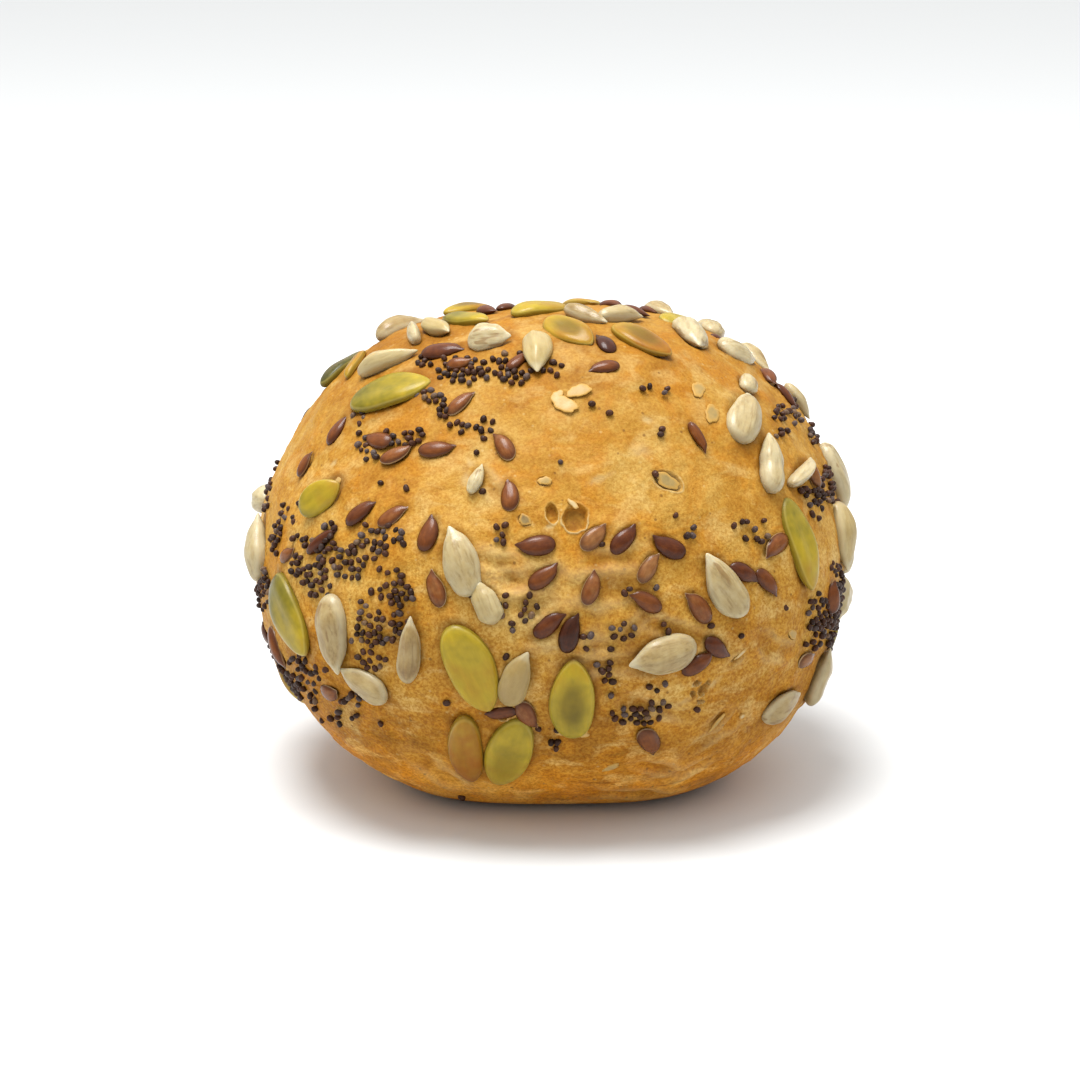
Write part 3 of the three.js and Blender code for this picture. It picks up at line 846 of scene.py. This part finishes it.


# The crust with its relief, and the attributes that its colours use: "pale", "amber", the stain
# with painted shade round the seeds and in the creases, and "under"
def make_crust(seeds, material):
    random = Random(HIDDEN_SEED + 2)
    marks = mark_frames(MARKS) + hidden_marks(random)
    creases = all_creases(random)
    directions, faces = refine(*geodesic_sphere(CRUST_ROWS), marks)
    points = crust_point(directions)
    normals = crust_normal(directions)
    wobble = uneven(points, 1.1, 2)
    seed_lift, stain = press_seeds(points, seeds)
    mark_lift, pale, amber = sink_marks(points, marks, wobble)
    crease_lift, crease_pale, groove = fold_creases(points, creases, uneven(points, 4.5, 2))
    swell_lift = 0.34 * uneven(points, 10, 2) + 0.2 * uneven(points, 3.6, 3)
    swell_lift += 0.03 * uneven(points, 1.2, 3)
    off_table = smoothstep(points[:, 2], 0.3, 4)
    lift = (seed_lift + crease_lift + swell_lift) * off_table + mark_lift
    points = points + normals * lift[:, None]
    points[:, 2] = np.maximum(points[:, 2], 0)
    under = 1 - smoothstep(points[:, 2], 0.0, 2.4)
    make_piece(
        "crust", points, faces, "crust", material,
        pale=np.maximum(pale, crease_pale), amber=amber, stain=np.maximum(stain, groove), under=under,
    )


# A material being built, with short calls for its nodes
class Finish:
    def __init__(self, name):
        self.material = bpy.data.materials.new(name)
        self.material.use_nodes = True
        self.tree = self.material.node_tree
        self.shader = self.tree.nodes["Principled BSDF"]

    # Links another node's output to a socket, or sets the socket's own value
    def feed(self, socket, value):
        if isinstance(value, bpy.types.NodeSocket):
            self.tree.links.new(value, socket)
        elif socket.type == "RGBA":
            socket.default_value = (*value, 1)
        else:
            socket.default_value = value

    def node(self, kind, inputs=(), **settings):
        made = self.tree.nodes.new(kind)
        for setting, value in settings.items():
            setattr(made, setting, value)
        for socket, value in dict(inputs).items():
            self.feed(made.inputs[socket], value)
        return made

    def attribute(self, name, output="Fac"):
        return self.node("ShaderNodeAttribute", attribute_name=name).outputs[output]

    def position(self):
        return self.node("ShaderNodeTexCoord").outputs["Object"]

    def stretched(self, coordinates, scale):
        return self.node("ShaderNodeMapping", {"Vector": coordinates, "Scale": scale}).outputs["Vector"]

    def noise(self, coordinates, size, detail=3.0, roughness=0.55, distortion=0.0):
        inputs = {"Vector": coordinates, "Scale": 1 / size, "Detail": detail, "Roughness": roughness,
                  "Distortion": distortion}
        return self.node("ShaderNodeTexNoise", inputs).outputs["Fac"]

    def cells(self, coordinates, size):
        inputs = {"Vector": coordinates, "Scale": 1 / size}
        return self.node("ShaderNodeTexVoronoi", inputs).outputs["Distance"]

    def ramp(self, value, *stops):
        made = self.node("ShaderNodeValToRGB", {"Fac": value})
        elements = made.color_ramp.elements
        while len(elements) < len(stops):
            elements.new(1.0)
        for element, (place, colour) in zip(elements, stops):
            element.position = place
            element.color = (*colour, 1)
        return made.outputs["Color"]

    def window(self, value, low, high):
        inputs = {"Value": value, "From Min": low, "From Max": high}
        return self.node("ShaderNodeMapRange", inputs, interpolation_type="SMOOTHSTEP").outputs["Result"]

    def plus(self, first, second, operation="ADD"):
        return self.node("ShaderNodeMath", {0: first, 1: second}, operation=operation).outputs["Value"]

    def minus(self, first, second):
        return self.plus(first, second, "SUBTRACT")

    def times(self, first, second):
        return self.plus(first, second, "MULTIPLY")

    # A value from 0 to 1 made to swing about 0
    def swing(self, value, height):
        return self.times(self.minus(value, 0.5), height)

    def mix(self, share, first, second, blend="MIX"):
        inputs = {0: share, 6: first, 7: second}
        return self.node("ShaderNodeMix", inputs, data_type="RGBA", blend_type=blend).outputs[2]

    # Lays a share of one colour over another, where a mask lets it through
    def tint(self, colour, mask, share, over):
        return self.mix(self.times(mask, share), colour, over)

    def bump(self, height, distance, strength=1.0, normal=None):
        inputs = {"Height": height, "Distance": distance * METRES, "Strength": strength}
        if normal is not None:
            inputs["Normal"] = normal
        return self.node("ShaderNodeBump", inputs).outputs["Normal"]

    # Lets a share of the light soak into a seed, red the furthest
    def let_light_in(self, share):
        self.shader.inputs["Subsurface Weight"].default_value = share
        self.shader.inputs["Subsurface Radius"].default_value = (1.0, 0.7, 0.35)
        self.shader.inputs["Subsurface Scale"].default_value = 1.2 * METRES

    def finish(self, colour, roughness, normal, specular):
        self.feed(self.shader.inputs["Base Color"], self.mix(1.0, colour, GIVEN_BACK, "MULTIPLY"))
        self.feed(self.shader.inputs["Roughness"], roughness)
        self.feed(self.shader.inputs["Normal"], normal)
        self.feed(self.shader.inputs["Specular IOR Level"], specular)
        return self.material


# Browned crust: golden above, browner below, clouded orange and straw, with fine grain and specks.
# The browner low part is partly the crust's own browning and partly painted light bounced off the
# table. Its top is browned and darkened with painted shade against the light above, and its foot
# lifted with painted light where the table's light would reach it
def crust_finish():
    made = Finish("crust")
    place = made.position()
    height = made.node("ShaderNodeSeparateXYZ", {"Vector": place}).outputs["Z"]
    clouds = made.noise(place, 0.015, 3.0, 0.55, 0.4)
    patches = made.noise(place, 0.005, 4.0, 0.6, 0.8)
    mottle = made.noise(made.stretched(place, (1.0, 1.0, 1.5)), 0.0016, 3.0, 0.6, 0.4)
    grain = made.noise(place, 0.00042, 3.0, 0.7, 0.1)
    # Browner low on the roll: partly the crust's own browning, partly painted light bounced off the crust
    # and table
    low = made.times(made.window(height, 0.036, 0.012), 0.18)
    # Painted light: less browning at the foot, where light from the table reaches it
    painted_foot_light = made.times(made.window(height, 0.013, 0.004), 0.08)
    # Painted shade: a little more browning towards the top, against the light above
    top = made.times(made.window(height, 0.042, 0.066), 0.07)
    browning = made.plus(made.times(clouds, 0.72), made.times(patches, 0.62))
    browning = made.plus(made.minus(browning, 0.17), made.minus(low, painted_foot_light))
    colour = made.ramp(
        made.plus(browning, top),
        (0.32, (0.83, 0.49, 0.11)), (0.5, (0.72, 0.36, 0.05)),
        (0.66, (0.59, 0.25, 0.024)), (0.9, (0.36, 0.14, 0.012)),
    )
    orange = made.window(made.noise(place, 0.0075, 3.0, 0.6, 0.8), 0.47, 0.64)
    colour = made.tint(colour, orange, 0.55, (0.74, 0.29, 0.018))
    straw = made.window(made.noise(made.stretched(place, (1.0, 1.0, 1.6)), 0.006, 3.0, 0.6, 0.6), 0.5, 0.68)
    colour = made.tint(colour, straw, 0.5, (0.92, 0.60, 0.19))
    flecks = made.ramp(grain, (0.38, (0.76, 0.66, 0.5)), (0.5, WHITE), (0.6, (1.18, 1.3, 1.6)))
    flecked = made.plus(made.times(made.window(height, 0.055, 0.025), 0.5), 0.5)
    colour = made.mix(flecked, colour, flecks, "MULTIPLY")
    shades = made.ramp(mottle, (0.3, (0.82, 0.75, 0.64)), (0.5, WHITE), (0.72, (1.08, 1.12, 1.2)))
    colour = made.mix(0.35, colour, shades, "MULTIPLY")
    # Painted shade: the top darkened against the light above
    colour = made.mix(made.window(height, 0.034, 0.062), colour, (0.8, 0.78, 0.75), "MULTIPLY")
    # Painted light: the foot brightened where light from the table would reach it
    colour = made.mix(made.window(height, 0.015, 0.004), colour, (1.75, 1.6, 1.3), "MULTIPLY")
    flour = made.window(made.cells(place, 0.0014), 0.2, 0.08)
    flour = made.times(flour, made.window(made.noise(place, 0.004, 2.0), 0.46, 0.62))
    colour = made.tint(colour, flour, 0.4, (0.86, 0.62, 0.26))
    specks = made.window(made.cells(place, 0.0027), 0.1, 0.05)
    colour = made.tint(colour, specks, 0.65, (0.22, 0.09, 0.02))
    # Darker round the seeds and in the crease hollows: partly a real stain, partly painted shade
    stain = made.times(made.attribute("stain"), made.window(patches, 0.3, 0.6))
    colour = made.tint(colour, stain, 0.6, (0.34, 0.13, 0.014))
    bared = made.ramp(mottle, (0.35, (0.42, 0.15, 0.01)), (0.65, (0.82, 0.42, 0.05)))
    colour = made.tint(colour, made.attribute("amber"), 0.85, bared)
    colour = made.tint(colour, made.attribute("pale"), 0.8, (0.84, 0.66, 0.32))
    colour = made.tint(colour, made.attribute("under"), 0.6, (0.36, 0.16, 0.03))
    folds = made.noise(made.stretched(place, (0.7, 0.7, 1.7)), 0.0044, 2.0, 0.45, 0.5)
    folded = made.times(made.window(height, 0.04, 0.028), made.window(clouds, 0.42, 0.6))
    normal = made.bump(patches, 0.5, 0.6)
    normal = made.bump(made.times(folds, folded), 1.4, 0.9, normal)
    normal = made.bump(mottle, 0.16, 0.7, normal)
    normal = made.bump(grain, 0.09, 0.9, normal)
    roughness = made.plus(made.times(mottle, 0.3), 0.42)
    return made.finish(colour, roughness, normal, 0.08)


# Pumpkin seed: dark green to amber, faintly streaked lengthwise, darker in the middle, with a
# thin pale line round the rim and painted shade in a dark line at its very edge
def pumpkin_finish():
    made = Finish("pumpkin_seed")
    grain = made.attribute("grain", "Vector")
    edge = made.attribute("edge")
    streaks = made.noise(made.stretched(grain, (0.25, 1.0, 1.0)), 0.6, 3.0, 0.6)
    clouds = made.swing(made.noise(grain, 2.4, 2.0), 0.45)
    colour = made.ramp(
        made.plus(made.attribute("tone"), clouds),
        (0.0, (0.09, 0.085, 0.014)), (0.25, (0.27, 0.22, 0.016)), (0.5, (0.63, 0.45, 0.028)),
        (0.75, (0.55, 0.29, 0.02)), (1.0, (0.45, 0.16, 0.007)),
    )
    streaking = made.ramp(streaks, (0.3, (0.6, 0.6, 0.5)), (0.7, (1.15, 1.1, 1.0)))
    colour = made.mix(0.3, colour, streaking, "MULTIPLY")
    core = made.times(made.window(edge, 0.85, 0.3), made.window(made.attribute("mark"), 0.3, 0.8))
    colour = made.tint(colour, core, 0.65, (0.16, 0.105, 0.006))
    rim = made.times(made.window(edge, 0.92, 0.96), made.window(edge, 0.99, 0.97))
    colour = made.tint(colour, rim, 0.35, (0.66, 0.52, 0.12))
    # Painted shade: a dark line at the seed's very edge
    colour = made.tint(colour, made.window(edge, 0.965, 0.99), 0.6, (0.30, 0.21, 0.02))
    colour = made.tint(colour, made.window(made.attribute("tip"), 0.95, 1.0), 0.6, (0.45, 0.27, 0.07))
    normal = made.bump(streaks, 0.05, 0.5)
    normal = made.bump(made.noise(grain, 0.25, 2.0), 0.02, 0.5, normal)
    made.let_light_in(0.2)
    return made.finish(colour, 0.3, normal, 0.2)


# Sunflower kernel: cream to tan, with fine lengthwise lines, a paler edge of painted light, some
# brown streaks, a whiter tip and a browner blunt end
def sunflower_finish():
    made = Finish("sunflower_seed")
    grain = made.attribute("grain", "Vector")
    mark = made.attribute("mark")
    tip = made.attribute("tip")
    lines = made.noise(made.stretched(grain, (0.16, 1.0, 1.0)), 0.5, 4.0, 0.62, 0.3)
    clouds = made.swing(made.noise(grain, 1.7, 3.0, 0.6), 0.9)
    colour = made.ramp(
        made.plus(made.attribute("tone"), clouds),
        (0.0, (0.74, 0.62, 0.36)), (0.4, (0.61, 0.46, 0.21)), (0.75, (0.45, 0.30, 0.11)),
        (1.0, (0.29, 0.16, 0.05)),
    )
    lining = made.ramp(lines, (0.3, (0.66, 0.58, 0.46)), (0.5, WHITE), (0.7, (1.1, 1.1, 1.08)))
    colour = made.mix(0.85, colour, lining, "MULTIPLY")
    # Painted light: a paler edge, where light comes through the thin rim
    colour = made.tint(colour, made.window(made.attribute("edge"), 0.78, 0.98), 0.45, (0.84, 0.74, 0.48))
    colour = made.tint(colour, made.window(mark, 0.7, 0.95), 0.5, (0.68, 0.50, 0.17))
    husk = made.noise(made.stretched(grain, (0.22, 1.0, 1.0)), 1.1, 2.0, 0.5)
    husk = made.times(made.window(husk, 0.6, 0.68), made.window(mark, 0.55, 0.3))
    colour = made.tint(colour, husk, 0.7, (0.34, 0.19, 0.06))
    colour = made.tint(colour, made.window(tip, 0.72, 1.0), 0.5, (0.82, 0.74, 0.52))
    blunt = made.times(made.window(tip, -0.8, -1.0), mark)
    colour = made.tint(colour, blunt, 0.7, (0.4, 0.25, 0.09))
    normal = made.bump(lines, 0.08, 0.6)
    normal = made.bump(made.noise(grain, 0.22, 2.0), 0.03, 0.5, normal)
    made.let_light_in(0.25)
    return made.finish(colour, 0.28, normal, 0.34)


# Chip of seed baked into the crust: cream to olive grey, running out to the crust's own gold
def chip_finish():
    made = Finish("seed_chip")
    clouds = made.swing(made.noise(made.position(), 0.0014, 3.0), 0.7)
    colour = made.ramp(
        made.plus(made.attribute("tone"), clouds),
        (0.0, (0.82, 0.62, 0.32)), (0.35, (0.68, 0.43, 0.13)), (0.7, (0.44, 0.31, 0.11)),
        (1.0, (0.2, 0.12, 0.05)),
    )
    colour = made.tint(colour, made.window(made.attribute("edge"), 0.45, 0.95), 0.8, (0.76, 0.42, 0.08))
    return made.finish(colour, 0.38, made.bump(clouds, 0.15, 0.6), 0.2)


# Flax seed: glossy red-brown, darkened to its rim with painted shade, and the palest with a cream line
# round it
def flax_finish():
    made = Finish("flax_seed")
    grain = made.attribute("grain", "Vector")
    edge = made.attribute("edge")
    tone = made.attribute("tone")
    lines = made.noise(made.stretched(grain, (0.3, 1.0, 1.0)), 0.35, 2.0, 0.6)
    colour = made.ramp(
        made.plus(tone, made.swing(made.noise(grain, 1.1, 3.0), 0.5)),
        (0.0, (0.44, 0.21, 0.07)), (0.35, (0.27, 0.08, 0.014)), (0.7, (0.13, 0.029, 0.005)),
        (1.0, (0.05, 0.012, 0.003)),
    )
    lining = made.ramp(lines, (0.3, (0.62, 0.54, 0.48)), (0.7, (1.25, 1.22, 1.2)))
    colour = made.mix(0.5, colour, lining, "MULTIPLY")
    # Painted shade: darker towards the rim
    colour = made.tint(colour, made.window(edge, 0.6, 0.95), 0.55, (0.06, 0.016, 0.006))
    rim = made.times(made.window(edge, 0.955, 0.99), made.window(tone, 0.5, 0.3))
    colour = made.tint(colour, rim, 0.75, (0.66, 0.46, 0.24))
    return made.finish(colour, 0.26, made.bump(lines, 0.05, 0.6), 0.22)


# Poppy seed: brown-black, a few slate or brown, finely netted
def poppy_finish():
    made = Finish("poppy_seed")
    netting = made.cells(made.position(), 0.00026)
    colour = made.ramp(
        made.attribute("tone"), (0.0, (0.03, 0.012, 0.006)), (0.5, (0.08, 0.03, 0.014)),
        (0.75, (0.045, 0.024, 0.018)), (0.9, (0.11, 0.08, 0.075)), (1.0, (0.2, 0.12, 0.06)),
    )
    netted = made.ramp(netting, (0.1, (0.5, 0.45, 0.42)), (0.5, (1.5, 1.4, 1.3)))
    colour = made.mix(0.7, colour, netted, "MULTIPLY")
    return made.finish(colour, 0.45, made.bump(netting, 0.06, 0.8), 0.16)


def aimed_rotation(place, target):
    return (Vector(target) - Vector(place)).to_track_quat("-Z", "Y").to_euler()


# The photograph's camera: a long lens a little above the roll's middle
def make_camera():
    sensor = 36
    camera = bpy.data.objects.new("camera", bpy.data.cameras.new("camera"))
    camera.data.sensor_fit = "HORIZONTAL"
    camera.data.sensor_width = sensor
    picture_width = 2 * PICTURE_CENTRE * MM_PER_PIXEL
    camera.data.lens = sensor * VIEW_DISTANCE / picture_width
    camera.location = EYE * METRES
    camera.rotation_euler = aimed_rotation(EYE, AIM)
    bpy.context.scene.collection.objects.link(camera)
    bpy.context.scene.camera = camera


def make_floor():
    bpy.ops.mesh.primitive_plane_add(size=8, location=(0, 0, 0))
    floor = bpy.context.object
    floor.name = "floor"
    made = Finish("pale_floor")
    made.shader.inputs["Base Color"].default_value = (0.64, 0.65, 0.65, 1)
    made.shader.inputs["Roughness"].default_value = 0.8
    made.shader.inputs["Specular IOR Level"].default_value = 0.1
    floor.data.materials.append(made.material)


def add_softbox(name, place, size, power):
    light = bpy.data.objects.new(name, bpy.data.lights.new(name, "AREA"))
    light.data.shape = "DISK"
    light.data.size = size
    light.data.energy = power
    light.location = place
    light.rotation_euler = aimed_rotation(place, (0, 0, 0.03))
    bpy.context.scene.collection.objects.link(light)


# A pale studio: a sky that grows brighter upwards, and a large soft light above
def make_studio():
    scene = bpy.context.scene
    scene.world = bpy.data.worlds.new("studio")
    scene.world.use_nodes = True
    tree = scene.world.node_tree
    heading = tree.nodes.new("ShaderNodeTexCoord")
    split = tree.nodes.new("ShaderNodeSeparateXYZ")
    strength = tree.nodes.new("ShaderNodeMath")
    strength.operation = "MULTIPLY_ADD"
    strength.inputs[1].default_value = SKY_RISE
    strength.inputs[2].default_value = SKY_LOW
    tree.links.new(heading.outputs["Generated"], split.inputs["Vector"])
    tree.links.new(split.outputs["Z"], strength.inputs[0])
    background = tree.nodes["Background"]
    background.inputs["Color"].default_value = (1, 1, 1, 1)
    tree.links.new(strength.outputs["Value"], background.inputs["Strength"])
    add_softbox("key_light", place=(-0.12, -0.07, 0.8), size=0.45, power=9)
    scene.view_settings.view_transform = "Standard"
    scene.view_settings.look = "None"
    make_floor()


SEED_FINISHES = {"pumpkin": pumpkin_finish, "sunflower": sunflower_finish, "flax": flax_finish}

random = Random(HIDDEN_SEED)
all_seeds = place_hidden_seeds(place_shown_seeds(random), random)
make_crust(all_seeds, crust_finish())
for kind, seed_finish in SEED_FINISHES.items():
    make_seeds(kind, [seed for seed in all_seeds if seed["kind"] == kind], seed_finish())
make_chips(chip_finish())
make_poppies(all_seeds, poppy_finish())
make_camera()
make_studio()
